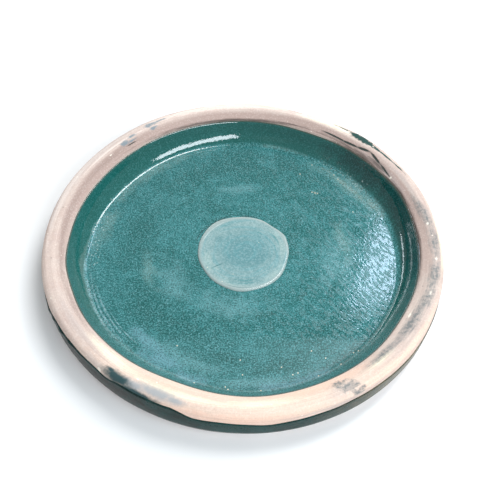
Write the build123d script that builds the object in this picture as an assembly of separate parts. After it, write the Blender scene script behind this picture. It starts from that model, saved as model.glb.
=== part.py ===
from build123d import *
from math import cos, exp, hypot, radians, sin, sqrt
import os

# A heavy plant saucer. It is a thrown clay dish with a bare rim, a thin clay pad luted to the
# middle of its floor, and glaze fired on inside, outside and over the pad.
# Lengths are in millimetres. The origin is the centre of the foot's resting face, +Z is up,
# and the photograph looks along +Y, so the near side of the rim is at -Y.

# Outside of the dish, as thrown and trimmed: its wall leans out from the heel up to the belly.
# Insets are measured inwards from the rim's outer edge.
rim_radius = 200.0
dish_height = 44.0
heel_inset = 2.0
heel_height = 5.5
heel_corner_radius = 10.0
belly_rise = 8.5
belly_round_radius = 90.0
foot_inset = 24.0
foot_width = 13.0
foot_height = 4.0
foot_edge_bevel = 1.5

# Crown of the rim: an outer roundover, a ridge, and a shoulder that falls to the inner lip
rim_width = 23.0
rim_edge_radius = 6.0
ridge_inset = 11.5
ridge_round_radius = 9.0
lip_drop = 5.7
lip_edge_radius = 1.2

# Hollow of the dish: a level floor, a cove and a wall that leans out to the lip
floor_thickness = 10.0
wall_lean = 12.0
cove_radius = 8.0

# Glaze on the inside wall and the floor
inside_glaze_thickness = 0.9
inside_glaze_drop = 1.6
glaze_edge_bevel = 0.6

# Throwing rings that show through the floor glaze, the first beside the cove
ring_count = 3
ring_inset = 10.0
ring_pitch = 4.6
ring_width = 3.6
ring_rise = 0.35

# Clay pad on the middle of the floor, with its thin wash of glaze
pad_radius = 48.0
pad_thickness = 2.0
pad_edge_bevel = 1.0
wash_thickness = 0.3

# Glaze on the outside wall, between a wiped line under the rim and a run line at the heel.
# Bearings are in degrees, from 0 at +X round to 90 at +Y, the far side.
outside_glaze_thickness = 0.8
bare_rim_height = 14.7
wiped_line_waver = 0.5
bare_heel_height = 3.8
run_line_waver = 1.1

# Glaze that was left standing up to the rim at the front left, and a bare patch at the heel
spill_rise = 9.0
spill_bearing = -118.0
spill_spread_angle = 13.0
bare_heel_rise = 3.0
bare_heel_bearing = -38.0
bare_heel_spread_angle = 16.0

# How a hand-held line wanders: each wave's share of the waver, its waves a turn and its phase
waver_shares = (0.5, 0.3, 0.2)
waves_per_turn = (3, 7, 11)
wave_phase_angles = (45.0, 120.0, 0.0)
line_points = 72

# A cutter passes its target by this much
overrun = 5.0

# Places that follow from the sizes above
heel_radius = rim_radius - heel_inset
belly_height = heel_height + heel_corner_radius + belly_rise
foot_outer_radius = rim_radius - foot_inset
foot_inner_radius = foot_outer_radius - foot_width
ridge_radius = rim_radius - ridge_inset
lip_radius = rim_radius - rim_width
lip_height = dish_height - lip_drop
floor_height = foot_height + floor_thickness
floor_glaze_height = floor_height + inside_glaze_thickness
wall_foot_radius = lip_radius - wall_lean
wiped_line_height = dish_height - bare_rim_height
run_line_height = heel_height + bare_heel_height


def outline(*corners):
    """A closed outline in radius and height, each corner given as (radius, height, rounding)."""
    points = [(radius, height) for radius, height, _ in corners]
    return make_face(FilletPolyline(*points, radius=[corner[2] for corner in corners], close=True))


def ring(section):
    """The solid that a section in radius and height sweeps round the dish's axis."""
    return revolve(Plane.XZ * section, Axis.Z)


def block(low_radius, high_radius, low_height, high_height):
    """A rectangle in radius and height, to keep or cut a stretch of a section."""
    return outline(
        (low_radius, low_height, 0),
        (high_radius, low_height, 0),
        (high_radius, high_height, 0),
        (low_radius, high_height, 0),
    )


def outside_corners(glaze=0.0):
    """Corners of the dish's heel, belly and rim edge, grown by a coat of glaze."""
    return (
        (heel_radius + glaze, heel_height - glaze, heel_corner_radius + glaze),
        (rim_radius + glaze, belly_height, belly_round_radius + glaze),
        (rim_radius + glaze, dish_height + glaze, rim_edge_radius + glaze),
    )


def filled_dish():
    """Section of the dish with its hollow still filled."""
    return outline(
        (0, foot_height, 0),
        (foot_inner_radius, foot_height, 0),
        (foot_inner_radius, foot_edge_bevel, 0),
        (foot_inner_radius + foot_edge_bevel, 0, 0),
        (foot_outer_radius - foot_edge_bevel, 0, 0),
        (foot_outer_radius, foot_edge_bevel, 0),
        (foot_outer_radius, heel_height, 0),
        *outside_corners(),
        (ridge_radius, dish_height, ridge_round_radius),
        (lip_radius, lip_height, 0),
        (0, lip_height, 0),
    )


def hollow(glaze=0.0):
    """Section of the dish's hollow, drawn in by a coat of glaze on its floor and wall."""
    lean = wall_lean / (lip_height - floor_height)
    low, high = floor_height + glaze, dish_height + overrun
    foot = wall_foot_radius + (lean - hypot(1, lean)) * glaze
    return outline(
        (0, low, 0),
        (foot, low, cove_radius - glaze),
        (foot + lean * (high - low), high, 0),
        (0, high, 0),
    )


def clay_dish():
    """The one thrown piece: floor, wall, domed rim and trimmed foot ring."""
    section = filled_dish() - hollow()
    lip = section.vertices().sort_by_distance((lip_radius, lip_height))[0]
    return ring(fillet(lip, lip_edge_radius))


def throwing_ring(number):
    """Section of one low swell that the thrower's finger left round the floor."""
    outer = wall_foot_radius - ring_inset - number * ring_pitch
    start, end = (outer - ring_width, floor_glaze_height), (outer, floor_glaze_height)
    return make_face(Line(start, end) + SagittaArc(end, start, ring_rise))


def inside_glaze():
    """The coat on the inside wall and the floor, from the lip in to the pad."""
    coat = hollow() - hollow(inside_glaze_thickness)
    coat &= block(pad_radius, rim_radius, floor_height, lip_height - inside_glaze_drop)
    upper_edge = coat.vertices().group_by(Axis.Y)[-1].sort_by(Axis.X)[0]
    coat = chamfer(upper_edge, glaze_edge_bevel)
    for number in range(ring_count):
        coat += throwing_ring(number)
    return ring(coat)


def pad_section(glaze=0.0):
    """Section of the pad with its bevelled edge, grown by its wash of glaze."""
    side, top = pad_radius + glaze, floor_height + pad_thickness + glaze
    disc = block(0, side, floor_height, top)
    edge = disc.vertices().sort_by_distance((side, top))[0]
    return chamfer(edge, pad_edge_bevel + (2 - sqrt(2)) * glaze)


def centre_pad():
    """The thin clay disc luted to the middle of the floor."""
    return ring(pad_section())


def pad_wash():
    """The pale wash over the pad, which stops on the floor glaze round it."""
    above_glaze = block(0, rim_radius, floor_glaze_height, dish_height)
    return ring((pad_section(wash_thickness) - pad_section()) & above_glaze)


def swell(bearing, centre, spread):
    """A smooth rise from 0 to 1 and back about one bearing."""
    off = (bearing - centre + 180) % 360 - 180
    return exp(-((off / spread) ** 2))


def waver(bearing):
    """How a hand-held line wanders round the dish, from about -1 to 1."""
    waves = zip(waver_shares, waves_per_turn, wave_phase_angles)
    return sum(share * sin(radians(count * bearing + phase)) for share, count, phase in waves)


def wiped_line(bearing):
    """Height of the outside glaze's upper edge, with the spill that was left on the rim."""
    spill = spill_rise * swell(bearing, spill_bearing, spill_spread_angle)
    return wiped_line_height + wiped_line_waver * waver(bearing) + spill


def run_line(bearing):
    """Height of the outside glaze's lower edge, where it stopped running at the heel."""
    bare = bare_heel_rise * swell(bearing, bare_heel_bearing, bare_heel_spread_angle)
    return run_line_height + run_line_waver * waver(bearing + 180) + bare


def ribbon(height_at):
    """A wavy ribbon through the outside wall that follows a line round the dish, facing up."""
    curves = []
    for radius in (rim_radius + overrun, foot_outer_radius):
        points = []
        for number in range(line_points):
            bearing = 360 * number / line_points
            turn = radians(bearing)
            points.append((radius * cos(turn), radius * sin(turn), height_at(bearing)))
        curves.append(Edge.make_spline(points, periodic=True))
    return Face.make_surface_from_curves(*curves)


def dipped_coat():
    """Section of the outside glaze as dipped, from under the heel over the rim to the ridge."""
    grown = outline(
        (ridge_radius, heel_height - outside_glaze_thickness, 0),
        *outside_corners(outside_glaze_thickness),
        (ridge_radius, dish_height + outside_glaze_thickness, 0),
    )
    return grown - filled_dish()


def outside_glaze():
    """The coat on the outside wall, wiped back to a line above and run down to one below."""
    coat = ring(dipped_coat()).split(ribbon(wiped_line), keep=Keep.BOTTOM)
    return coat.split(ribbon(run_line), keep=Keep.TOP)


PARTS = {
    "clay_dish": clay_dish,
    "centre_pad": centre_pad,
    "inside_glaze": inside_glaze,
    "outside_glaze": outside_glaze,
    "pad_wash": pad_wash,
}

os.makedirs("parts", exist_ok=True)
for name, make in PARTS.items():
    export_step(make(), f"parts/{name}.step")
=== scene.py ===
from functools import reduce
from math import atan2, cos, degrees, exp, hypot, pi, radians, sin, tan

import bmesh
import bpy
from mathutils import Matrix, Vector


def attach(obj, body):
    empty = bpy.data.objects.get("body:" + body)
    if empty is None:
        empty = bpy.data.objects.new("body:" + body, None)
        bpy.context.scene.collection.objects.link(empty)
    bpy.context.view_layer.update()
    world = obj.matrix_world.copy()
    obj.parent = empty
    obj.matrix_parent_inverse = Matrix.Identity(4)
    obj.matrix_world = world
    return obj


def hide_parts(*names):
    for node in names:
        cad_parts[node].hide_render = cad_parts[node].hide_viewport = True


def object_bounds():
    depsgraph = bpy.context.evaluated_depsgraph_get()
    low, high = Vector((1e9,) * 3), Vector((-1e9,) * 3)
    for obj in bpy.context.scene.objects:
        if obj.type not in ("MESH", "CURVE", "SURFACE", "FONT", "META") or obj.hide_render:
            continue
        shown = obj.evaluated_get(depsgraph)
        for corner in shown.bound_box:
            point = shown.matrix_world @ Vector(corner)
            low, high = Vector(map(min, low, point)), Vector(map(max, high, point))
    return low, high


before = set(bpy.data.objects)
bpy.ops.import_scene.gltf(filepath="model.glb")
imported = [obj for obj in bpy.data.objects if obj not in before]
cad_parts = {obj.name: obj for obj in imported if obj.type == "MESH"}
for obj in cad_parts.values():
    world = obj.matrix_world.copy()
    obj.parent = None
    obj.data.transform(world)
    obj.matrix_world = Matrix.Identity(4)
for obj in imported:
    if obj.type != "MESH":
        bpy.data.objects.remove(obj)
cad_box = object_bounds()

# The thrown dish. It is one piece of groggy buff stoneware: floor, leaning wall and a heavy domed
# rim, turned over when leather hard to trim the foot ring. The rim was wiped bare before firing.
# Sections are drawn in millimetres as radius and height; bearings run from 0 at +X to 90 at the rear.
mm = 0.001
outside_glaze_thickness = 0.8
inside_glaze_thickness = 0.9
rim_radius = round(cad_box[1][0] / mm - outside_glaze_thickness, 2)
dish_height = round(cad_box[1][2] / mm, 2)
rim_width = 23
ridge_radius = rim_radius - 11.5
lip_radius = rim_radius - rim_width
lip_height = dish_height - 5.7
wall_lean = 12
wall_foot_radius = lip_radius - wall_lean
cove_rounding = 8
foot_height = 4
foot_bevel = 1.5
foot_outer_radius = rim_radius - 24
foot_inner_radius = foot_outer_radius - 13
heel_height = 5.5
floor_height = foot_height + 10
floor_glaze_height = floor_height + inside_glaze_thickness

# The corners of a section are given as (radius, height, rounding)
heel_corner = (rim_radius - 2, heel_height, 10)
belly_corner = (rim_radius, 24, 90)
rim_edge_corner = (rim_radius, dish_height, 6)
clay_section = (
    (0, foot_height, 0), (foot_inner_radius, foot_height, 0), (foot_inner_radius, foot_bevel, 0),
    (foot_inner_radius + foot_bevel, 0, 0), (foot_outer_radius - foot_bevel, 0, 0),
    (foot_outer_radius, foot_bevel, 0), (foot_outer_radius, heel_height, 0.8),
    heel_corner, belly_corner, rim_edge_corner, (ridge_radius, dish_height, 9),
    (lip_radius, lip_height, 1.2), (wall_foot_radius, floor_height, cove_rounding), (0, floor_height, 0),
)


def fillet_length(before, corner, after, rounding):
    """How far from a corner its rounding begins, along each of the two lines that meet there."""
    come = Vector(corner[:2]) - Vector(before[:2])
    go = Vector(after[:2]) - Vector(corner[:2])
    return rounding * tan(come.angle(go) / 2)


def draw_section(corners, longest, closed, covered_radius=0):
    """A section with its corners rounded and its long lines divided, more coarsely out to the radius
    where the glaze and the table cover them."""
    drawing = bmesh.new()
    dots = [drawing.verts.new((radius * mm, 0, height * mm)) for radius, height, _ in corners]
    drawing.faces.new(dots)
    for number, dot in enumerate(dots):
        rounding = corners[number][2]
        if rounding:
            after = corners[(number + 1) % len(corners)]
            length = fillet_length(corners[number - 1], corners[number], after, rounding)
            steps = 4 if rounding < 2 else 9
            bmesh.ops.bevel(drawing, geom=[dot], offset=length * mm, affect="VERTICES",
                            segments=steps, profile=0.5, material=-1)
    bmesh.ops.delete(drawing, geom=drawing.faces[:], context="FACES_ONLY")
    if not closed:
        on_axis = [edge for edge in drawing.edges if all(abs(v.co.x) < 1e-9 for v in edge.verts)]
        bmesh.ops.delete(drawing, geom=on_axis, context="EDGES")
    longest_covered = 6 * longest
    for edge in drawing.edges[:]:
        middle = (edge.verts[0].co.x + edge.verts[1].co.x) / 2
        step = longest_covered if middle < covered_radius * mm else longest
        cuts = int(edge.calc_length() / (step * mm))
        if cuts:
            bmesh.ops.subdivide_edges(drawing, edges=[edge], cuts=cuts)
    return drawing


def throw(drawing, steps):
    """Sweeps a section once round the wheel: one wedge is spun, then doubled until it meets itself."""
    wedges = 32
    wedge = 2 * pi / wedges
    bmesh.ops.spin(drawing, geom=drawing.verts[:] + drawing.edges[:], cent=(0, 0, 0),
                   axis=(0, 0, 1), angle=wedge, steps=steps // wedges)
    while wedge < 2 * pi - 1e-6:
        copy = bmesh.ops.duplicate(drawing, geom=drawing.verts[:] + drawing.edges[:] + drawing.faces[:])
        fresh = [part for part in copy["geom"] if isinstance(part, bmesh.types.BMVert)]
        bmesh.ops.rotate(drawing, verts=fresh, cent=(0, 0, 0), matrix=Matrix.Rotation(wedge, 3, "Z"))
        wedge *= 2
    bmesh.ops.remove_doubles(drawing, verts=drawing.verts[:], dist=1e-6)
    bmesh.ops.recalc_face_normals(drawing, faces=drawing.faces[:])
    return drawing


def hump(off, spread):
    """A smooth rise from 0 to 1 and back, about nought."""
    return exp(-((off / spread) ** 2))


def swell(bearing, centre, spread):
    """A smooth rise from 0 to 1 and back about one bearing."""
    return hump((bearing - centre + 180) % 360 - 180, spread)


def ease(value, low, high):
    """Goes smoothly from 0 to 1 as a value goes from low to high."""
    share = min(max((value - low) / (high - low), 0), 1)
    return share * share * (3 - 2 * share)


def place_of(spot):
    """The radius, in millimetres, and the bearing of a point."""
    return hypot(spot.x, spot.y) / mm, degrees(atan2(spot.y, spot.x))


# Where the outer edge, the inner lip and the pad stand out or fall in: (bearing, millimetres, spread)
outer_swells = ((-158, 2.1, 18), (3, -1.6, 12), (48, 0.9, 10), (66, -2.0, 9), (90, 2.2, 10),
                (118, 1.5, 18))
lip_swells = ((-168, 2.4, 9), (-148, 1.6, 12), (-110, -2.3, 12), (-84, 0.9, 10), (-31, -1.5, 12),
              (24, 2.5, 11), (66, -1.8, 10), (92, 0.8, 8), (148, -2.2, 20))
pad_swells = ((128, 2.1, 20), (52, -1.5, 11), (29, 0.9, 6), (-12, -2.5, 24), (-94, 1.5, 14),
              (-150, -1.5, 18), (180, -0.8, 12))


def out_of_round(spot):
    """Moves a point of the true form to where drying and firing left it."""
    radius, bearing = place_of(spot)
    if radius == 0:
        return
    outer, inner, pad = (sum(rise * swell(bearing, centre, spread) for centre, rise, spread in swells)
                         for swells in (outer_swells, lip_swells, pad_swells))
    # Below the floor only the outside shows, and all of it moves with the outer edge
    below_floor = spot.z < (floor_height - 0.5) * mm
    across = 1 if below_floor else min(max((radius - lip_radius) / rim_width, 0), 1)
    with_wall = ease(radius, 120, wall_foot_radius)
    with_pad_edge = ease(radius, 26, 44) * ease(radius, 74, 52)
    move = with_wall * (inner + (outer - inner) * across) + with_pad_edge * pad
    spot.x *= 1 + move / radius
    spot.y *= 1 + move / radius


def off_stains(spot, stains):
    """How far a point lies from the nearest of some stains, as a share of the way to its edge."""
    clear_of_all = 9.0
    # Stains lie only on the floor's glaze and above it
    if spot.z < (floor_glaze_height - 0.01) * mm:
        return clear_of_all
    radius, turned = place_of(spot)
    nearest = clear_of_all
    for bearing, middle, along, across, *lean in stains:
        off = (turned - bearing + 180) % 360 - 180
        if abs(off) < along:
            out = radius - middle - (lean[0] * off if lean else 0)
            nearest = min(nearest, hypot(2 * out / across, 2 * off / along))
    return nearest


def fire(name, drawing, finish, node):
    """Makes the piece from its mesh, gives it its finish and puts it in place of its CAD node."""
    for vert in drawing.verts:
        out_of_round(vert.co)
    mesh = bpy.data.meshes.new(name)
    drawing.to_mesh(mesh)
    drawing.free()
    mesh.shade_smooth()
    mesh.set_sharp_from_angle(angle=radians(50))
    mesh.materials.append(finish.material)
    for kind, stains in finish.stained.items():
        share = mesh.attributes.new(kind, "FLOAT", "POINT")
        share.data.foreach_set("value", [off_stains(vert.co, stains) for vert in mesh.vertices])
    piece = bpy.data.objects.new(name, mesh)
    bpy.context.scene.collection.objects.link(piece)
    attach(piece, "root")
    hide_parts(node)


class Finish:
    """A fired surface. Its colours are laid over each other and its relief is built up, each by a
    share from 0 to 1 that says where. Its nodes know where a point lies on the wheel, in millimetres."""

    def __init__(self, name):
        self.material = bpy.data.materials.new(name)
        self.material.use_nodes = True
        self.shader = self.material.node_tree.nodes["Principled BSDF"]
        self.place = self.add("ShaderNodeTexCoord").outputs["Object"]
        x, y, height = self.add("ShaderNodeSeparateXYZ", (self.place,)).outputs
        self.height = self.reckon("MULTIPLY", height, 1 / mm)
        self.rearward = self.reckon("MULTIPLY", y, 1 / mm)
        flat = self.stretch(self.place, 1 / mm, 1 / mm, 0)
        self.radius = self.add("ShaderNodeVectorMath", (flat,), operation="LENGTH").outputs[1]
        self.bearing = self.reckon("MULTIPLY", self.reckon("ARCTAN2", y, x), 180 / pi)
        self.chart = self.gather(self.radius, self.bearing, 0)
        self.stained = {}
        self.colour = None
        self.relief = None

    def add(self, kind, sockets=(), **settings):
        """Adds a node, sets it, and wires or fills its first sockets in their order."""
        node = self.material.node_tree.nodes.new(kind)
        for setting, value in settings.items():
            setattr(node, setting, value)
        for socket, value in zip(node.inputs, sockets):
            self.feed(socket, value)
        return node

    def feed(self, socket, value):
        """Wires a socket to another node's output, or fills it with a number or a colour."""
        if isinstance(value, bpy.types.NodeSocket):
            self.material.node_tree.links.new(value, socket)
        else:
            socket.default_value = value

    def reckon(self, operation, first, second=0.0):
        """The outcome of one sum."""
        return self.add("ShaderNodeMath", (first, second), operation=operation).outputs[0]

    def times(self, *shares):
        """The product of some shares, which is high only where every one of them is."""
        return reduce(lambda first, second: self.reckon("MULTIPLY", first, second), shares)

    def largest(self, *shares):
        """The largest of some shares, which is high where any of them is."""
        return reduce(lambda first, second: self.reckon("MAXIMUM", first, second), shares)

    def gather(self, x, y, z):
        """A place made of three numbers."""
        return self.add("ShaderNodeCombineXYZ", (x, y, z)).outputs[0]

    def stretch(self, place, x, y, z):
        """A place with each of its numbers multiplied."""
        return self.add("ShaderNodeVectorMath", (place, (x, y, z)), operation="MULTIPLY").outputs[0]

    def grade(self, value, low, high, start=0.0, end=1.0):
        """A value that goes smoothly from start to end as another goes from low to high."""
        return self.add("ShaderNodeMapRange", (value, low, high, start, end),
                        interpolation_type="SMOOTHSTEP").outputs[0]

    def mottle(self, size, detail=3.0, rough=0.55, warp=0.0, where=None):
        """Cloudy unevenness whose patches are about this many millimetres across."""
        place = self.place if where is None else where
        moment, lacunarity, offset, gain = 0.0, 2.0, 0.0, 1.0
        sockets = (place, moment, 1 / (size * mm), detail, rough, lacunarity, offset, gain, warp)
        return self.add("ShaderNodeTexNoise", sockets).outputs[0]

    def turned(self, pitch, run, detail=3.0, rough=0.6):
        """Lines that run round the wheel: their pitch across and their run along, in millimetres."""
        across = self.reckon("DIVIDE", self.reckon("ADD", self.radius, self.height), pitch)
        along = self.stretch(self.place, 1 / (run * mm), 1 / (run * mm), 0)
        x, y, _ = self.add("ShaderNodeSeparateXYZ", (along,)).outputs
        # The place is counted in runs and pitches by now, so the noise keeps its own size
        return self.mottle(1 / mm, detail, rough, where=self.gather(x, y, across))

    def specks(self, spacing, size, share, seed=0.0):
        """Small round specks: their spacing and size in millimetres, and how many places hold one."""
        where = self.add("ShaderNodeVectorMath", (self.place, (seed,) * 3), operation="ADD").outputs[0]
        cells = self.add("ShaderNodeTexVoronoi", (where, 0.0, 1 / (spacing * mm)))
        dot = self.grade(cells.outputs["Distance"], size / spacing, 0.4 * size / spacing)
        chance = self.add("ShaderNodeSeparateColor", (cells.outputs["Color"],)).outputs[0]
        return self.times(dot, self.reckon("LESS_THAN", chance, share))

    def ragged(self, unevenness, reach):
        """Turns an unevenness into how far the edge of a mark strays in and out."""
        return self.times(self.reckon("SUBTRACT", unevenness, 0.5), reach)

    def mark(self, fray, bearing, radius, along, across, soft=0.7, lean=0.0):
        """A mark left by hand, by the bearing and radius of its middle. It is so many degrees long
        and so many millimetres wide, and leans so many millimetres outwards for each degree."""
        chart = self.chart
        if lean:
            shift = self.times(self.reckon("SUBTRACT", self.bearing, bearing), lean)
            chart = self.gather(self.reckon("SUBTRACT", self.radius, shift), self.bearing, 0)
        local = self.add("ShaderNodeMapping", (chart, (radius, bearing, 0), (0, 0, 0),
                                               (across / 2, along / 2, 1)), vector_type="TEXTURE")
        off = self.add("ShaderNodeVectorMath", (local.outputs[0],), operation="LENGTH").outputs[1]
        return self.grade(self.reckon("ADD", off, fray), 1, 1 - soft)

    def marks(self, fray, *each):
        """The marks of one kind together."""
        return self.largest(*(self.mark(fray, *one) for one in each))

    def stains(self, kind, fray, soft, *each):
        """Broad soft marks of one kind, each given by its bearing, radius, length, width and lean.
        How far each point lies from them is written on the mesh."""
        self.stained[kind] = each
        off = self.add("ShaderNodeAttribute", attribute_name=kind).outputs["Fac"]
        return self.grade(self.reckon("ADD", off, fray), 1, 1 - soft)

    def blend(self, share, under, over):
        """One colour mixed into another."""
        node = self.add("ShaderNodeMix", data_type="RGBA")
        for number, value in ((0, share), (6, under), (7, over)):
            self.feed(node.inputs[number], (*value, 1) if isinstance(value, tuple) else value)
        return node.outputs[2]

    def lay(self, share, colour, strength=1.0):
        """Lays a colour over those laid before."""
        self.colour = self.blend(self.times(share, strength), self.colour, colour)

    def rise(self, share, height):
        """Raises the surface by so many millimetres, or sinks it where they are less than nought."""
        step = self.times(share, height * mm)
        self.relief = step if self.relief is None else self.reckon("ADD", self.relief, step)

    def complete(self, roughness, specular=0.5):
        """Sends the colours, the relief and the gloss to the shader."""
        self.feed(self.shader.inputs["Base Color"], self.colour)
        self.feed(self.shader.inputs["Roughness"], roughness)
        self.shader.inputs["Specular IOR Level"].default_value = specular
        bump = self.add("ShaderNodeBump")
        self.feed(bump.inputs["Distance"], 1.0)
        self.feed(bump.inputs["Height"], self.relief)
        self.feed(self.shader.inputs["Normal"], bump.outputs[0])


clay_dish = throw(draw_section(clay_section, longest=1.8, closed=False, covered_radius=160), steps=640)

# The rim was nudged at the rear right while it was soft: inside a bent crease it sank a little
crease_bends = ((64, 180.6), (54.7, 180.4), (47.8, 182.4), (42.8, 185.8), (36.9, 182.5), (30.6, 180.3),
                (27, 179))
crease_start, crease_end = crease_bends[0][0], crease_bends[-1][0]
crease_sink = 0.9
crown_from = 35
for vert in clay_dish.verts:
    radius, bearing = place_of(vert.co)
    if vert.co.z > crown_from * mm and crease_end <= bearing <= crease_start:
        (far, far_radius), (near, near_radius) = next(
            pair for pair in zip(crease_bends, crease_bends[1:]) if pair[1][0] <= bearing <= pair[0][0])
        crease_radius = near_radius + (far_radius - near_radius) * (bearing - near) / (far - near)
        inward = crease_radius - radius
        sunk = ease(inward, -0.5, 1.4) * ease(inward, 8, 2)
        sunk *= ease(bearing, crease_end, crease_end + 4) * ease(bearing, crease_start, crease_start - 6)
        vert.co.z -= crease_sink * mm * sunk

clay = Finish("bare_buff_clay")
fine_lines = clay.turned(pitch=0.9, run=90)
broad_lines = clay.turned(pitch=4.5, run=60)
patches = clay.mottle(26, detail=4, rough=0.6, warp=0.4)
blotches = clay.mottle(7, detail=4, rough=0.65)
grain = clay.mottle(1.6, detail=2, rough=0.7)
smear = clay.ragged(clay.turned(pitch=1.8, run=14, detail=4, rough=0.7), reach=1.4)
fray = clay.ragged(clay.mottle(4.5, detail=4, rough=0.65), reach=2.2)
on_rim = clay.grade(clay.height, 36, 39)

# The bare clay, from pink to buff, with the thrower's lines, painted shade on the inner shoulder at the
# rear, and the front of the rim paler and peachier, partly clay and partly painted light
clay.colour = clay.blend(clay.grade(patches, 0.35, 0.7), (0.575, 0.440, 0.385), (0.635, 0.520, 0.458))
clay.lay(clay.grade(broad_lines, 0.42, 0.75), (0.78, 0.655, 0.570), strength=0.45)
clay.lay(clay.grade(blotches, 0.45, 0.75), (0.56, 0.47, 0.44), strength=0.35)
# Painted shade: the inner shoulder at the rear, which faces away from the light, is darkened
rear_shoulder_painted_shade = clay.times(clay.grade(clay.radius, 188, 184), on_rim, clay.grade(clay.rearward, -70, 60))
clay.lay(rear_shoulder_painted_shade, (0.40, 0.285, 0.25), strength=0.85)
# Partly peach clay and partly painted light: the rim grows paler towards the front
front_rim_peach_and_painted_light = clay.times(clay.grade(clay.rearward, -115, -170), on_rim)
clay.lay(front_rim_peach_and_painted_light, (0.86, 0.655, 0.52), strength=0.7)

# Painted shade on the left inner shoulder; pale slip and cream, both partly painted light; and what the kiln
# left: flashes of peach, and ash
# Painted shade on the inner shoulder at the left
left_shoulder_painted_shade = clay.stains("left_shoulder_painted_shade", smear, 0.9, (180, 182, 90, 9), (148, 182, 60, 8), (-152, 181, 40, 8))
clay.lay(left_shoulder_painted_shade, (0.33, 0.235, 0.205), strength=0.8)
# Partly pale slip and partly painted light on the rim's outer band and ridge at the rear
pale_ridge_painted_light = clay.stains("pale_ridge_painted_light", smear, 0.8, (60, 192, 60, 8), (100, 194, 80, 13),
                         (140, 189.5, 50, 3), (160, 195, 60, 10))
clay.lay(pale_ridge_painted_light, (0.93, 0.80, 0.72), strength=0.85)
peach = clay.stains("peach", smear, 0.9, (-92, 200, 64, 8), (-40, 198, 60, 8), (20, 200, 60, 6),
                    (-68, 182, 60, 12), (-110, 184, 30, 12))
clay.lay(peach, (0.93, 0.62, 0.48), strength=0.75)
# Partly cream clay and partly painted light: bright cream patches on the rim
cream_and_painted_light = clay.stains("cream_and_painted_light", smear, 0.9, (-84, 187, 30, 13), (-129, 184, 26, 14), (62, 192, 26, 12),
                    (-104, 188, 40, 9), (92, 197, 40, 8), (-48, 187, 14, 8), (0, 197, 40, 5))
clay.lay(cream_and_painted_light, (0.97, 0.89, 0.68), strength=0.85)
ashy = clay.stains("ashy", smear, 0.9, (-142, 189, 40, 12), (150, 194, 70, 12), (34, 181, 40, 9),
                   (-38, 185, 40, 9), (-62, 193, 14, 18), (-130, 198, 16, 9), (172, 196, 30, 8),
                   (27, 189, 30, 8))
clay.lay(ashy, (0.47, 0.42, 0.405), strength=0.45)
clay.lay(clay.grade(fine_lines, 0.35, 0.75), (0.36, 0.26, 0.22), strength=0.30)
clay.lay(clay.grade(grain, 0.50, 0.70), (0.95, 0.88, 0.82), strength=0.20)
clay.lay(clay.grade(grain, 0.48, 0.32), (0.34, 0.26, 0.23), strength=0.14)

# Glaze that was smeared on the rim: a grey band at the right, blue and grey spots, a film and a dark end at
# the spill, and a dark streak; then painted shade under the lip, and the dark in the crease, partly glaze
# and partly painted shade
grey = clay.stains("grey", smear, 0.9, (11, 188.4, 22, 13, -0.41), (0, 190.6, 22, 15, -0.1),
                   (-13, 190.2, 20, 16, 0.1), (-22, 188.5, 16, 16, 0.4), (-32, 185.5, 28, 15, 0.1),
                   (-46, 184, 20, 12))
smudge = clay.stains("smudge", fray, 0.8, (-62.5, 186, 7, 12), (-60, 192, 8, 12), (-58.5, 199.5, 6, 8))
thinned = clay.grade(clay.mottle(3, detail=3, rough=0.6), 0.40, 0.58, 0.45, 0.88)
clay.lay(clay.times(clay.largest(grey, smudge), on_rim, thinned), (0.145, 0.170, 0.175))
blue = clay.stains("blue", fray, 0.7, (137, 186, 5, 8), (133, 189.2, 6, 4), (134.5, 184.5, 5, 3),
                   (125.5, 192, 6, 8), (125, 187, 4, 5), (121, 193.5, 7, 3))
clay.lay(clay.times(blue, on_rim), (0.17, 0.235, 0.275), strength=0.85)
faint_fray = clay.times(fray, 0.3)
film = clay.stains("film", faint_fray, 0.85, (-111.5, 193.2, 19, 15), (-118, 195.5, 13, 12),
                   (-106.5, 194.5, 9, 10))
clay.lay(film, (0.29, 0.335, 0.365), strength=0.82)
teal = clay.stains("teal", faint_fray, 0.7, (-123, 197, 13, 14), (-116.5, 200, 18, 6),
                   (-125.5, 194.5, 5, 5))
clay.lay(teal, (0.006, 0.052, 0.060), strength=0.97)
# Painted shade under the lip at the rear and rear right
under_lip_painted_shade = clay.stains("under_lip_painted_shade", smear, 0.9, (46, 178, 44, 9), (38, 180.5, 16, 8), (4, 177, 60, 5),
                    (24, 177.8, 36, 8), (95, 177.4, 120, 4.4))
clay.lay(under_lip_painted_shade, (0.075, 0.053, 0.045), strength=0.85)
streak = clay.marks(clay.times(fray, 0.6), (48.5, 193.6, 12, 10.5, 0.4), (43.5, 193, 9, 5.5, 0.5),
                    (38.5, 193.2, 12, 3, 0.6), (32, 193.8, 10, 2.4, 0.7, -0.2), (56, 194, 9, 2, 0.8))
clay.lay(clay.times(streak, on_rim), (0.006, 0.052, 0.045))
# The dark line in the crease is partly glaze caught there and partly painted shade
crease_glaze_and_shade = clay.marks(0.0, (57, 180.7, 14, 2.4, 0.6), (50.6, 181.5, 10, 2.6, 0.6, -0.29),
                    (45.4, 184.0, 7, 3.0, 0.6, -0.68), (39.8, 184.1, 8, 2.8, 0.6, 0.56),
                    (33.7, 181.4, 10, 2.4, 0.8, 0.35), (135, 181.9, 6, 1.6, 0.8))
clay.lay(clay.times(crease_glaze_and_shade, on_rim), (0.030, 0.042, 0.036))

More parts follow.
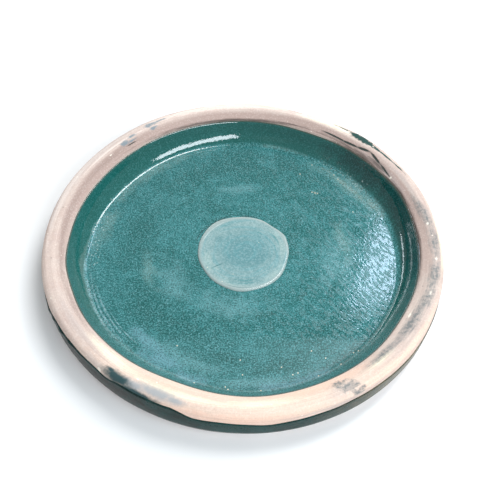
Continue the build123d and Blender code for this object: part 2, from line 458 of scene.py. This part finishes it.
# Chips down to pale clay, and iron spots
large_chips = clay.marks(fray, (6.8, 188.2, 2, 3.5, 0.8), (-7, 191, 2, 4, 0.8), (-20, 190, 3, 4, 0.8),
                         (-29.4, 180, 3.5, 2.5, 0.7), (30.2, 180.8, 1.2, 2.4, 0.6),
                         (144, 184, 1.4, 1.6, 0.7), (158, 194, 1.4, 1.6, 0.7),
                         (-128.4, 200, 1.6, 2.4, 0.6), (-118, 189, 1.2, 1.8, 0.6),
                         (53.6, 193.4, 1.2, 2.0, 0.8), (43.6, 193.2, 1.2, 2.4, 0.8))
small_chips = clay.specks(9, size=1.1, share=0.16)
tiny_chips = clay.specks(5, size=0.6, share=0.12, seed=3.1)
clay.lay(clay.largest(small_chips, tiny_chips, large_chips), (0.95, 0.88, 0.76), strength=0.8)
iron = clay.specks(12, size=0.9, share=0.14, seed=7.7)
clay.lay(iron, (0.13, 0.10, 0.09), strength=0.7)
clay.rise(fine_lines, 0.12)
clay.rise(grain, 0.06)
clay.rise(crease_glaze_and_shade, -0.5)
clay.complete(roughness=clay.grade(patches, 0.3, 0.7, 0.62, 0.85))

fire("thrown_dish", clay_dish, clay, "clay_dish")

# The pad. It is a thin disc of the same clay, cut with a ring and luted to the middle of the floor
# with slip, so that a pot stands clear of the glaze. Its edge was softened with a wet finger.
pad_radius = 48
pad_top = floor_height + 2
pad_bevel = 1
pad_section = (
    (0, floor_height, 0), (pad_radius, floor_height, 0), (pad_radius, pad_top - pad_bevel, 0),
    (pad_radius - pad_bevel, pad_top, 0), (0, pad_top, 0),
)
luted_pad = throw(draw_section(pad_section, longest=2, closed=False), steps=256)

pad_clay = Finish("luted_pad_clay")
pad_lines = pad_clay.turned(pitch=1.2, run=40)
pad_grain = pad_clay.mottle(1.4, detail=3, rough=0.7)
worn = pad_clay.grade(pad_lines, 0.3, 0.7)
pad_clay.colour = pad_clay.blend(worn, (0.42, 0.36, 0.28), (0.60, 0.54, 0.44))
pad_clay.lay(pad_clay.grade(pad_grain, 0.4, 0.8), (0.78, 0.74, 0.64), strength=0.4)
pad_clay.rise(pad_lines, 0.1)
pad_clay.complete(roughness=pad_clay.grade(pad_grain, 0.3, 0.7, 0.6, 0.8))

fire("luted_pad", luted_pad, pad_clay, "centre_pad")

# The inside glaze. A glossy copper green was poured in, swilled up to the lip and tipped out. It
# pooled in the cove, ran thin over the thrower's finger rings and fired with a fine pale speckle.
glaze_top = lip_height - 1.6
edge_drop = 0.5
edge_thickness = 0.45
lean = wall_lean / (lip_height - floor_height)
wall_at_top = wall_foot_radius + lean * (glaze_top - floor_height)
face_foot = wall_foot_radius + (lean - hypot(1, lean)) * inside_glaze_thickness
face_top = face_foot + lean * (glaze_top - edge_drop - floor_glaze_height)

# The pool fills the cove in a slack curve, from the floor to a way up the leaning wall
pool_reach = 5
pool_rise = 7.18
pool_lean = 3.55
pool_foot_corner = (face_foot - pool_reach, floor_glaze_height, 8)
pool_top_corner = (face_foot + pool_lean, floor_glaze_height + pool_rise, 36)

# The thrower's finger rings, the first of them close to the cove
ring_count = 3
ring_inset = 10
ring_pitch = 4.6
ring_width = 3.6
ring_rise = 0.02
ring_corners = []
for number in range(ring_count):
    outer = wall_foot_radius - ring_inset - number * ring_pitch
    ring_corners += [(outer, floor_glaze_height, 0),
                     (outer - ring_width / 2, floor_glaze_height + ring_rise, 0),
                     (outer - ring_width, floor_glaze_height, 0)]
glaze_section = (
    (pad_radius, floor_height, 0), (pad_radius, floor_glaze_height, 0), *reversed(ring_corners),
    pool_foot_corner, pool_top_corner, (face_top, glaze_top - edge_drop, 0),
    (wall_at_top - edge_thickness, glaze_top, 0), (wall_at_top, glaze_top, 0),
    (wall_foot_radius, floor_height, cove_rounding),
)
inside_coat = throw(draw_section(glaze_section, longest=2.2, closed=True), steps=576)

green = Finish("pooled_copper_green")
clouds = green.mottle(60, detail=3, rough=0.5, warp=0.6)
drift = green.mottle(18, detail=4, rough=0.65, warp=0.8)
swirl = green.turned(pitch=5, run=60, detail=4, rough=0.65)
ragged_pool = green.ragged(green.mottle(12, detail=5, rough=0.7), reach=2.2)
finger_smear = green.ragged(green.turned(pitch=1.6, run=16, detail=4, rough=0.7), reach=2.4)

# The glaze itself, deeper and paler in clouds and where it pooled or ran thin
green.colour = green.blend(green.grade(clouds, 0.40, 0.62), (0.008, 0.108, 0.101), (0.022, 0.154, 0.153))
green.lay(green.grade(drift, 0.46, 0.62), (0.040, 0.194, 0.197), strength=0.85)
green.lay(green.grade(swirl, 0.46, 0.66), (0.009, 0.108, 0.101), strength=0.55)
pale = green.stains("pale", ragged_pool, 0.95, (-5, 95, 56, 56), (-100, 70, 90, 40), (-112, 140, 50, 34),
                    (-150, 80, 60, 44), (95, 90, 40, 20), (-85, 152, 50, 16), (172, 156, 40, 10))
green.lay(pale, (0.120, 0.290, 0.300), strength=0.7)
haze = green.stains("haze", ragged_pool, 0.95, (40, 150, 60, 26), (138, 154, 80, 20), (168, 150, 30, 24),
                    (-165, 100, 40, 20), (75, 160, 30, 8), (10, 105, 40, 20))
green.lay(haze, (0.125, 0.255, 0.240), strength=0.85)
milky = green.stains("milky", ragged_pool, 0.9, (-121, 149, 26, 30), (-108, 156, 20, 18),
                     (-132, 142, 18, 20), (-72, 158, 40, 12))
green.lay(milky, (0.135, 0.300, 0.345), strength=0.85)
buff = green.stains("buff", ragged_pool, 0.9, (40, 150, 26, 9), (27, 156, 18, 7), (49, 116, 5, 5),
                    (54, 152, 16, 5))
green.lay(buff, (0.25, 0.31, 0.26), strength=0.5)
deep = green.stains("deep", ragged_pool, 0.9, (-73, 80, 30, 9), (-45, 78, 30, 10), (168, 112, 60, 46),
                    (-142, 122, 34, 36), (100, 122, 60, 34), (-125, 112, 50, 40), (40, 72, 34, 30),
                    (-25, 100, 30, 12), (-47, 124, 60, 60), (65, 135, 30, 26), (-95, 128, 40, 22),
                    (-75, 138, 40, 24))
green.lay(deep, (0.007, 0.096, 0.088), strength=0.9)

# Finger wipes at the left, the dark line along the pad's far side, partly pooled glaze and partly painted
# shade, and foam left by the tip at the rear right
finger = green.marks(finger_smear, (-154, 162.5, 56, 7, 0.9), (-150, 157.5, 46, 4, 0.9),
                     (-146, 153.6, 40, 3, 0.9), (-140, 150, 26, 2, 0.9), (176, 161, 24, 2.2, 0.9))
finger = green.times(finger, green.grade(green.mottle(5, detail=4, rough=0.7), 0.38, 0.60, 0.15, 1))
green.lay(finger, (0.29, 0.47, 0.51), strength=0.8)
# The dark line along the far side of the pad is partly pooled glaze and partly painted shade
pad_edge_pool_and_shade = green.marks(0.0, (150, 51.8, 50, 3.2, 0.8), (120, 51.2, 44, 3.0, 0.8), (85, 49.8, 36, 3.0, 0.7))
green.lay(pad_edge_pool_and_shade, (0.012, 0.055, 0.052), strength=0.9)
foam = green.stains("foam", ragged_pool, 0.9, (38, 160, 44, 16), (27, 160, 24, 18), (58, 165, 20, 9),
                    (80, 166, 30, 5))
green.lay(foam, (0.150, 0.240, 0.220), strength=0.6)

# Painted shade on the wall, least at the front, and a painted shadow on the far wall
on_wall_face = green.grade(green.height, 15.3, 17.6)
# Painted shade on the wall face, lighter towards the front
wall_painted_shade = green.times(on_wall_face, green.grade(green.rearward, -135, -70, 0.25, 1))
green.lay(wall_painted_shade, (0.005, 0.094, 0.080), strength=0.9)
# Painted shadow on the far wall at the right
far_wall_painted_shadow = green.stains("far_wall_painted_shadow", ragged_pool, 0.9, (12, 172, 110, 40), (40, 172, 50, 40))
green.lay(green.times(far_wall_painted_shadow, on_wall_face), (0.003, 0.042, 0.038), strength=0.8)

# Pale sand, a painted blue highlight on the lip, the fine speckle, pinholes, and the brown break along the
# lip
sandy = green.stains("sandy", ragged_pool, 0.9, (170, 154, 70, 18), (42, 158, 50, 18), (140, 156, 40, 12))
sand = green.specks(2.6, size=1.1, share=0.5, seed=5.3)
green.lay(green.times(sand, sandy), (0.46, 0.58, 0.56), strength=0.85)
# Painted highlight: a blue sliver of reflection on the lip at the right
lip_painted_reflection = green.mark(0.0, -3, 176.3, along=12, across=1.6, soft=0.8)
green.lay(lip_painted_reflection, (0.20, 0.42, 0.60))
speckle = green.mottle(1.5, detail=2, rough=0.8)
flecks = green.mottle(1.3, detail=1, rough=0.5)
speckle_shows = green.grade(wall_painted_shade, 0, 1, 1, 0.3)
green.lay(green.times(green.grade(speckle, 0.50, 0.62), speckle_shows), (0.115, 0.350, 0.375), strength=0.6)
green.lay(green.times(green.grade(speckle, 0.50, 0.38), speckle_shows), (0.006, 0.055, 0.055), strength=0.75)
green.lay(green.times(green.grade(flecks, 0.60, 0.72), speckle_shows), (0.20, 0.45, 0.49), strength=0.5)
front = green.stains("front", ragged_pool, 0.6, (-62, 150, 74, 26), (48, 140, 50, 26))
pinhole_size = 1.7
pinhole_places = (
    (-60, 133), (-47.5, 157), (-45.8, 158.5), (-57, 146), (-74, 139), (-71, 149.3), (-69, 149),
    (-63, 159), (-54, 159), (-117.6, 129), (-90, 127.5), (-89, 143), (-94.7, 156.5), (-93.7, 159),
    (-83, 160), (-105, 159), (48.7, 116), (50.3, 114.5), (47.6, 117.5), (60.2, 150), (49.5, 152),
    (46.7, 150), (27.5, 131.6), (62.3, 130.3),
)
large_pinholes = green.marks(0.0, *((bearing, radius, 100 / radius, pinhole_size)
                                    for bearing, radius in pinhole_places))
small_pinholes = green.times(green.specks(13, size=0.8, share=0.3, seed=1.3), front)
green.lay(green.largest(small_pinholes, large_pinholes), (0.80, 0.74, 0.58))
green.lay(green.grade(green.height, 35.6, 36.5), (0.07, 0.055, 0.035), strength=0.6)

# Small ripples, drawn out along the pour, which break the reflections and are matt in patches
pour_chart = green.add("ShaderNodeMapping", (green.place, (0, 0, 0), (0, 0, radians(-50)), (2.0, 0.8, 1)),
                       vector_type="TEXTURE").outputs[0]
green.rise(green.mottle(3.0, detail=2, rough=0.55, where=pour_chart), 0.10)
green.rise(green.mottle(9, detail=2, rough=0.5), 0.10)
green.rise(finger, 0.12)
matt = green.grade(green.mottle(4.0, detail=3, rough=0.6, where=pour_chart), 0.49, 0.55)
matt = green.times(matt, green.grade(green.height, 15.3, 14.95))
matt = green.largest(matt, green.grade(green.rearward, -86, -112))
green.complete(roughness=green.grade(matt, 0, 1, 0.03, 0.26), specular=0.62)

fire("poured_glaze", inside_coat, green, "inside_glaze")

# The wash on the pad. After the pour the pad was wiped with a sponge, which left a thin pale film
# of glaze in turning strokes and let the buff clay show through all round the edge.
wash_thickness = 0.3
wash_bevel = 1.17
wash_radius = pad_radius + wash_thickness
wash_top = pad_top + wash_thickness
wash_section = (
    (0, pad_top, 0), (pad_radius - pad_bevel, pad_top, 0), (pad_radius, pad_top - pad_bevel, 0),
    (pad_radius, floor_glaze_height, 0), (wash_radius, floor_glaze_height, 0),
    (wash_radius, wash_top - wash_bevel, 0), (wash_radius - wash_bevel, wash_top, 0), (0, wash_top, 0),
)
wiped_wash = throw(draw_section(wash_section, longest=1.6, closed=False), steps=320)

wash = Finish("wiped_pale_wash")
strokes = wash.turned(pitch=3.2, run=26, detail=4, rough=0.65)
sponge = wash.mottle(12, detail=5, rough=0.65, warp=0.7)
wash_speck = wash.mottle(1.7, detail=2, rough=0.7)
sponge_fray = wash.ragged(wash.mottle(7, detail=4, rough=0.6), reach=2.0)
stroke_smear = wash.ragged(wash.turned(pitch=1.2, run=12, detail=4, rough=0.7), reach=2.0)

# The wash, thinner and paler towards the edge, with wet and thin patches and turning strokes
toward_edge = wash.reckon("ADD", wash.radius, wash.ragged(sponge, reach=34))
wash.colour = wash.blend(wash.grade(toward_edge, 8, 44), (0.118, 0.258, 0.276), (0.250, 0.370, 0.372))
wash.lay(wash.grade(strokes, 0.46, 0.62), (0.125, 0.310, 0.335), strength=0.6)
thin_side = wash.marks(sponge_fray, (-160, 38, 70, 20, 0.95), (-110, 42, 90, 14, 0.95),
                       (20, 41, 80, 10, 0.95), (-40, 42, 60, 9, 0.95))
wash.lay(thin_side, (0.36, 0.47, 0.445), strength=0.6)
wet = wash.marks(sponge_fray, (-88, 38, 80, 14, 0.9), (-20, 20, 120, 20, 0.9), (150, 30, 40, 12, 0.9))
wash.lay(wet, (0.110, 0.245, 0.262), strength=0.6)
arcs = wash.marks(stroke_smear, (-88, 37, 42, 2.8, 0.8), (-84, 40.5, 50, 2.2, 0.8), (30, 38, 50, 2.4, 0.8),
                  (60, 30, 30, 1.4, 0.9), (10, 33, 40, 1.4, 0.9), (120, 40, 40, 1.4, 0.9))
wash.lay(arcs, (0.07, 0.235, 0.245), strength=0.75)
wash.lay(wash.grade(wash_speck, 0.5, 0.64), (0.40, 0.56, 0.57), strength=0.28)
wash.lay(wash.grade(wash_speck, 0.5, 0.36), (0.06, 0.20, 0.21), strength=0.32)

# The buff edge, a scratch, a painted highlight inside the edge and a few pale dots
edge_wander = wash.reckon("ADD", wash.radius, wash.times(sponge_fray, 1.2))
wash.lay(wash.grade(edge_wander, 42.5, 46), (0.37, 0.42, 0.40), strength=0.6)
scratch = wash.marks(0.0, (-144, 32, 5, 16, 0.8, -3.0), (-95, 45.6, 60, 0.9, 0.9))
wash.lay(scratch, (0.055, 0.17, 0.18), strength=0.85)
# Painted highlight along the pad's rounded edge, at the upper left and the right
pad_edge_painted_highlight = wash.marks(stroke_smear, (140, 44.5, 70, 1.2, 0.9), (-5, 46.3, 60, 1.0, 0.9))
wash.lay(pad_edge_painted_highlight, (0.55, 0.66, 0.66), strength=0.7)
dots = wash.marks(0.0, (-149, 42.5, 1.6, 1.5), (-109, 31, 1.8, 1.3), (-118, 44, 1.6, 1.2), (40, 20, 3, 1.2))
wash.lay(dots, (0.80, 0.78, 0.62))
wash.rise(wash.mottle(4, detail=3, rough=0.5), 0.08)
wash.rise(strokes, 0.12)
wash.complete(roughness=wash.grade(strokes, 0.3, 0.7, 0.16, 0.26))

fire("wiped_wash", wiped_wash, wash, "pad_wash")

# The outside glaze. The dish was dipped, then its rim and heel were sponged back to bare clay, which
# left a raised edge that wavers. At the front left the sponge missed, and the glaze ran on the rim.
wiped_line_height = dish_height - 14.7
run_line_height = heel_height + 3.8
outside_turns = 960
face_rows = 26
back_rows = list(reversed(range(0, face_rows, 5)))


def waver(bearing):
    """How a hand-held line wanders round the dish, from about -1 to 1."""
    waves = ((0.5, 3, 45), (0.3, 7, 120), (0.2, 11, 0))
    return sum(share * sin(radians(count * bearing + phase)) for share, count, phase in waves)


def wiped_line(bearing):
    """Height on the wall, counted along its face, where the glaze was wiped off under the rim. It
    stands up to the rim at the front left, but for one notch, and a little higher at the front right."""
    ripple = 0.25 * sin(radians(23 * bearing)) + 0.2 * sin(radians(41 * bearing + 50))
    left = 7.8 * ease(bearing, -101, -107.5) + 2.8 * ease(bearing, -82, -95)
    left = left * ease(bearing, -157, -147) - 3.4 * swell(bearing, -125.8, 2.6)
    right = 3.0 * ease(bearing, -84, -65) * ease(bearing, -38, -52)
    return wiped_line_height + 0.5 * waver(bearing) + ripple + left + right


def run_line(bearing):
    """Height where the glaze stopped running, above the heel, with a bare patch at the front right."""
    ripple = 0.45 * sin(radians(17 * bearing + 20)) + 0.3 * sin(radians(29 * bearing))
    return run_line_height + 1.1 * waver(bearing + 180) + 3.0 * swell(bearing, -38, 16) + ripple


def lift(bearing, from_top, from_low):
    """How far the glaze stands off the clay: nought at its edges, with a bead above the run line and
    lumps under the rim at the left."""
    edge_reach = 0.8
    nearest_edge = max(min(from_top, from_low), 0)
    coat = outside_glaze_thickness * min(1, (nearest_edge / edge_reach) ** 0.5)
    bead = 0.35 * hump(from_low - 1.6, 1.1)
    lumpy = sin(radians(bearing * 47)) * sin(radians(bearing * 29 + 40)) * 0.5 + 0.5
    lump = 2.2 * lumpy * swell(bearing, -147, 8) * hump(from_top - 2.5, 2.2)
    return coat + bead + lump


# The bare wall's own line, from the heel up over the rim's edge, and how far along it each point lies
wall_end_radius = 192
wall_section = (heel_corner, belly_corner, rim_edge_corner, (wall_end_radius, dish_height, 0),
                (foot_outer_radius, heel_height, 0))
wall_drawing = draw_section(wall_section, longest=0.5, closed=True)
wall_points = sorted(
    ((v.co.x / mm, v.co.z / mm) for v in wall_drawing.verts if v.co.x > (wall_end_radius - 0.1) * mm),
    key=lambda point: (point[1], -point[0]))
wall_drawing.free()
wall_run = [0.0]
for near, far in zip(wall_points, wall_points[1:]):
    wall_run.append(wall_run[-1] + hypot(far[0] - near[0], far[1] - near[1]))
run_offset = next(run for run, point in zip(wall_run, wall_points) if point[1] >= run_line_height)
run_offset -= run_line_height


def on_wall(run):
    """The point of the bare wall so far along its face, and the way out from it."""
    run += run_offset
    number = next((n for n, length in enumerate(wall_run) if length > run), len(wall_run) - 1)
    (r0, z0), (r1, z1) = wall_points[number - 1], wall_points[number]
    step = wall_run[number] - wall_run[number - 1]
    share = (run - wall_run[number - 1]) / step
    return Vector((r0 + (r1 - r0) * share, z0 + (z1 - z0) * share)), Vector((z1 - z0, r0 - r1)) / step


# A closed strip, one side for the glaze's face and one for its back, is spun and then set on the wall
strip = bmesh.new()
row_layer = strip.verts.layers.int.new("row")
strip_foot = 9
face_radius = rim_radius
back_radius = rim_radius - 1
rows = [strip.verts.new((face_radius * mm, 0, (strip_foot + row) * mm)) for row in range(face_rows)]
rows += [strip.verts.new((back_radius * mm, 0, (strip_foot + row) * mm)) for row in back_rows]
for number, vert in enumerate(rows):
    vert[row_layer] = number
for near, far in zip(rows, rows[1:] + rows[:1]):
    strip.edges.new((near, far))
outside_coat = throw(strip, outside_turns)
row_layer = outside_coat.verts.layers.int["row"]
for vert in outside_coat.verts:
    number = vert[row_layer]
    _, bearing = place_of(vert.co)
    low_run = run_line(bearing)
    width = wiped_line(bearing) - low_run
    on_face = number < face_rows
    share = (number if on_face else back_rows[number - face_rows]) / (face_rows - 1)
    point, out = on_wall(low_run + width * share)
    off_clay = lift(bearing, (1 - share) * width, share * width) if on_face else 0.0
    spot = (point + out * off_clay) * mm
    vert.co = Vector((spot.x * cos(radians(bearing)), spot.x * sin(radians(bearing)), spot.y))
bmesh.ops.recalc_face_normals(outside_coat, faces=outside_coat.faces[:])

dipped = Finish("dipped_dark_green")
runs = dipped.mottle(14, detail=4, rough=0.6, warp=1.0)
shade = dipped.mottle(60, detail=3, rough=0.5)
coat_speck = dipped.mottle(1.6, detail=3, rough=0.7)
dipped.colour = dipped.blend(dipped.grade(shade, 0.35, 0.7), (0.004, 0.018, 0.016), (0.007, 0.038, 0.034))
dipped.lay(dipped.grade(runs, 0.4, 0.75), (0.013, 0.058, 0.052), strength=0.6)
dipped.lay(dipped.grade(coat_speck, 0.5, 0.7), (0.035, 0.105, 0.095), strength=0.35)
dipped.lay(dipped.grade(coat_speck, 0.46, 0.3), (0.004, 0.022, 0.020), strength=0.5)

# It broke brown along the run line, thinned to rust at the front right and scorched at the left
uneven_height = dipped.reckon("ADD", dipped.height, dipped.times(runs, 3))
dipped.lay(dipped.grade(uneven_height, 13.2, 10.4), (0.055, 0.038, 0.022), strength=0.7)
run_fray = dipped.ragged(runs, reach=2.0)
thin_coat = dipped.mark(dipped.times(run_fray, 0.5), -42, rim_radius, along=62, across=70, soft=0.95)
thin_coat = dipped.times(thin_coat, dipped.grade(dipped.height, 35, 30.5))
rust = dipped.blend(dipped.grade(coat_speck, 0.40, 0.62), (0.085, 0.080, 0.052), (0.205, 0.165, 0.105))
streaky = dipped.grade(dipped.turned(pitch=3, run=30, detail=4, rough=0.65), 0.40, 0.62, 0.95, 0.5)
dipped.lay(dipped.times(thin_coat, streaky), rust)
scorched = dipped.mark(run_fray, -132, rim_radius, along=60, across=60, soft=0.9)
scorched = dipped.times(scorched, dipped.grade(dipped.height, 37, 31))
dipped.lay(scorched, (0.028, 0.021, 0.016), strength=0.7)
dipped.rise(dipped.mottle(6, detail=3, rough=0.5), 0.25)
dipped.complete(roughness=dipped.grade(coat_speck, 0.3, 0.7, 0.25, 0.38), specular=0.1)

fire("dipped_glaze", outside_coat, dipped, "outside_glaze")

# The table and the light: a plain pale top, an even white room, and soft windows round it. The one
# behind to the right shows as a patch in the floor glaze, and the others draw the lines in the cove.
bpy.ops.mesh.primitive_plane_add(size=12, location=(0, 0, 0))
table_top = bpy.context.object
table_top.name = "table_top"
table_paint = bpy.data.materials.new("pale_table")
table_paint.use_nodes = True
table_paint.node_tree.nodes["Principled BSDF"].inputs["Base Color"].default_value = (0.93, 0.93, 0.93, 1)
table_paint.node_tree.nodes["Principled BSDF"].inputs["Roughness"].default_value = 0.9
table_top.data.materials.append(table_paint)

room = bpy.data.worlds.new("white_room")
bpy.context.scene.world = room
room.use_nodes = True
room.node_tree.nodes["Background"].inputs["Color"].default_value = (0.97, 0.99, 1.0, 1)
room.node_tree.nodes["Background"].inputs["Strength"].default_value = 0.41


def face_toward(place, aim):
    """How a lamp or a camera stands at a place so that it faces a point, upright."""
    turn = (Vector(aim) - Vector(place)).to_track_quat("-Z", "Y")
    return Matrix.Translation(place) @ turn.to_matrix().to_4x4()


def window(name, place, aim, width, height, brightness, colour):
    """A bright rectangle that faces a point, its brightness counted against a white sheet."""
    lamp = bpy.data.lights.new(name, "AREA")
    lamp.shape = "RECTANGLE"
    lamp.size, lamp.size_y = width, height
    lamp.energy = brightness * width * height * pi
    lamp.color = colour
    fitting = bpy.data.objects.new(name, lamp)
    fitting.matrix_world = face_toward(place, aim)
    bpy.context.scene.collection.objects.link(fitting)


window("rear_window", (0.49, 1.16, 1.50), aim=(0.145, 0.0, 0.015),
       width=0.115, height=0.30, brightness=14.5, colour=(0.66, 0.79, 1.0))
window("low_rear_light", (0.5, 2.4, 0.95), aim=(0, 0, 0),
       width=4.2, height=1.7, brightness=1.2, colour=(1.0, 0.98, 0.95))
window("side_window", (1.05, -1.25, 1.47), aim=(0, 0, 0),
       width=1.9, height=0.42, brightness=14.2, colour=(0.86, 0.94, 1.0))
window("roof_window", (0.84, 0.79, 2.2), aim=(0, 0, 0),
       width=0.55, height=1.5, brightness=14.6, colour=(0.97, 0.99, 1.0))
window("far_left_window", (-1.3, 1.75, 0.48), aim=(0, 0, 0),
       width=1.6, height=0.13, brightness=8, colour=(0.85, 0.94, 1.0))

# The camera. It stands where the photograph was taken from, close to the dish and looking down on
# it, and is rolled a little. Its focal length is given in pixels of the photograph.
photo_width = 480
focal_length = 775
film_width = 36
roll = 1.4713
camera_place, camera_aim = Vector((0, -0.4973, 0.6427)), Vector((-0.0042, -0.0024, 0.038))
scene = bpy.context.scene
scene.view_settings.view_transform = "Standard"
scene.view_settings.look = "None"
lens = bpy.data.cameras.new("camera")
lens.sensor_width = film_width
lens.lens = focal_length / photo_width * film_width
camera = bpy.data.objects.new("camera", lens)
camera.matrix_world = face_toward(camera_place, camera_aim) @ Matrix.Rotation(radians(roll), 4, "Z")
scene.collection.objects.link(camera)
scene.camera = camera
